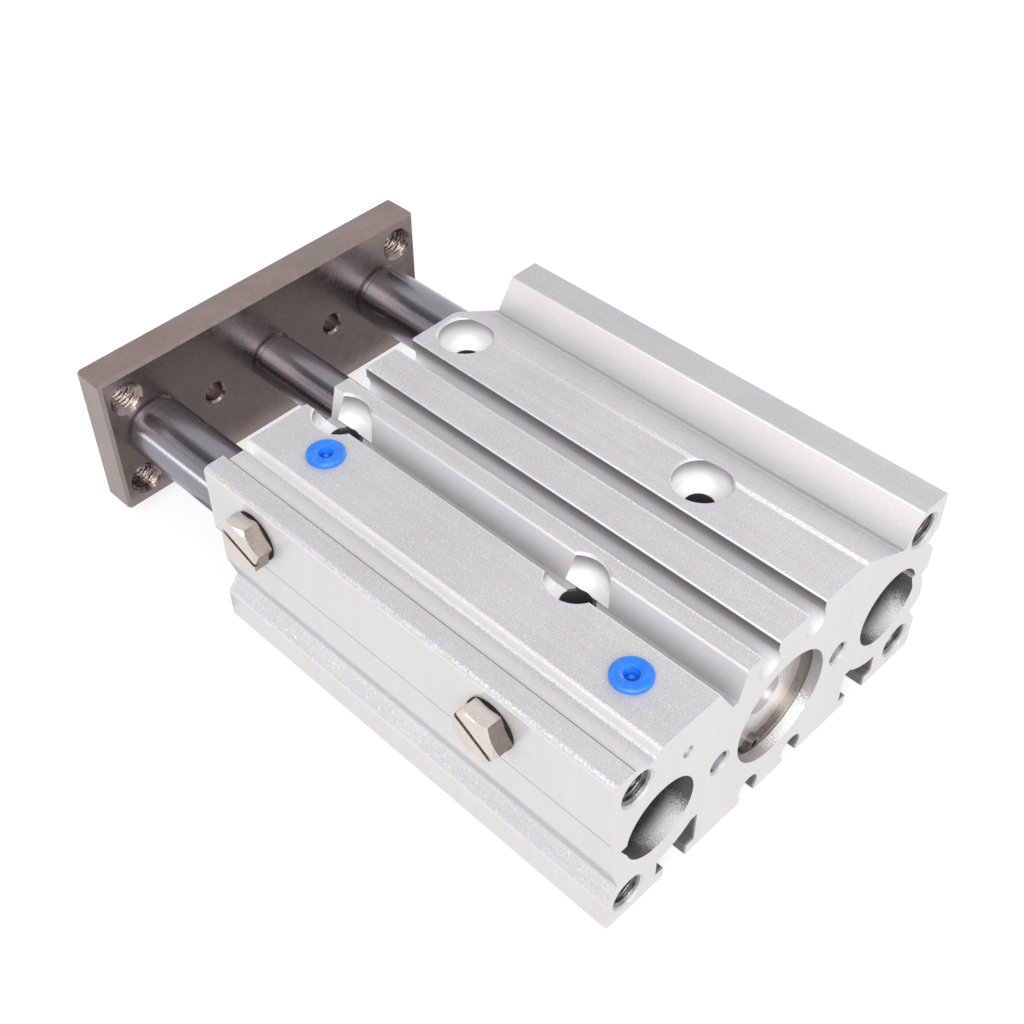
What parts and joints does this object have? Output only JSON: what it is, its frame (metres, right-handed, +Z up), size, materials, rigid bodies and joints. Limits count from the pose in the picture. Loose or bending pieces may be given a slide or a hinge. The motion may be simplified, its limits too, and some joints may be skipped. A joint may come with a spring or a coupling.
{
  "type": "guided pneumatic cylinder",
  "caption": "Flat pneumatic cylinder in a slotted extruded body: a piston rod between guide rods pushes a steel end plate, with top and side air ports and mounting holes.",
  "frame": {"origin": "centre of the body's flat bottom face, midway between its head-end and rod-end faces", "axes": "+Y is the way the plate moves out, +Z is up from the bottom face, and the side ports are on -X"},
  "size_m": [0.067, 0.106, 0.0307],
  "materials": {
    "anodised_body": "matt sand-blasted silver anodised",
    "turned_aluminium": "turned, satin",
    "black_rubber": "smooth nitrile rubber",
    "soft_bumper": "soft polyurethane, satin",
    "spring_steel": "phosphated spring steel, brownish",
    "bush_bronze": "oil-filled bronze",
    "ball_steel": "polished steel ball",
    "plug_nickel": "nickel plated, warm grey",
    "cap_blue": "bright blue moulded plastic",
    "plate_steel": "nickel-plated steel, warm grey",
    "rod_chrome": "ground and hard chromed",
    "magnet_ferrite": "sintered ferrite",
    "screw_steel": "plated steel"
  },
  "bodies": {
    "cylinder": {"body": "anodised_body", "head_cover": "turned_aluminium", "head_cover_gasket": "black_rubber", "head_snap_ring": "spring_steel", "head_bumper": "soft_bumper", "rod_collar": "turned_aluminium", "rod_collar_gasket": "black_rubber", "rod_snap_ring": "spring_steel", "rod_seal": "black_rubber", "rod_bumper": "soft_bumper", "guide_bush_left": "bush_bronze", "guide_bush_right": "bush_bronze", "passage_ball": "ball_steel", "port_plug_rod_end": "plug_nickel", "port_plug_head_end": "plug_nickel", "plug_gasket_rod_end": "black_rubber", "plug_gasket_head_end": "black_rubber"},
    "moving_plate": {"plate": "plate_steel", "piston_rod": "rod_chrome", "piston": "turned_aluminium", "piston_seal": "black_rubber", "piston_magnet": "magnet_ferrite", "guide_rod_left": "rod_chrome", "guide_rod_right": "rod_chrome", "guide_rod_screws": "screw_steel", "piston_rod_screw": "screw_steel"},
    "cap_rod_end": {"port_cap_rod_end": "cap_blue"},
    "cap_head_end": {"port_cap_head_end": "cap_blue"}
  },
  "joints": [
    {"name": "plate_slide", "type": "slide", "parent": "cylinder", "child": "moving_plate", "axis": [0, 1, 0], "range_m": [-0.022, 0.018]},
    {"name": "cap_rod_end_pull", "type": "slide", "parent": "cylinder", "child": "cap_rod_end", "axis": [0, 0, 1], "range_m": [0, 0.01]},
    {"name": "cap_head_end_pull", "type": "slide", "parent": "cylinder", "child": "cap_head_end", "axis": [0, 0, 1], "range_m": [0, 0.01]}
  ]
}
